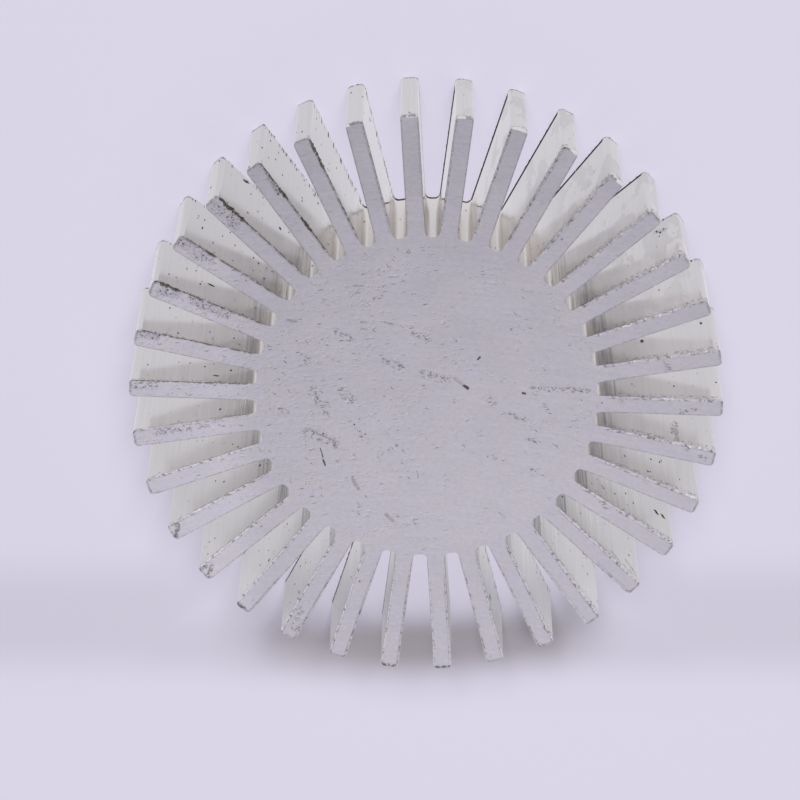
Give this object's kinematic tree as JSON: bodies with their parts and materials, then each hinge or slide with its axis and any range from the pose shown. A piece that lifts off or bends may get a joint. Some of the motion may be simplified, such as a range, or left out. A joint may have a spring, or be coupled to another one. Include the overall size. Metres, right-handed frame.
{
  "type": "sunflower heat sink",
  "caption": "Round slice of extruded aluminium with a solid core and a ring of straight radial fins that give heat off to the air.",
  "frame": {"origin": "centre of the sawn face that the slice lies on", "axes": "+Z along the extrusion, away from the face it lies on; +Y along the middle of one fin"},
  "size_m": [0.0598, 0.06, 0.0125],
  "materials": {
    "aluminium": "mill finish on the fin walls, sawn on both ends"
  },
  "bodies": {
    "root": {"heat_sink": "aluminium"}
  },
  "joints": []
}
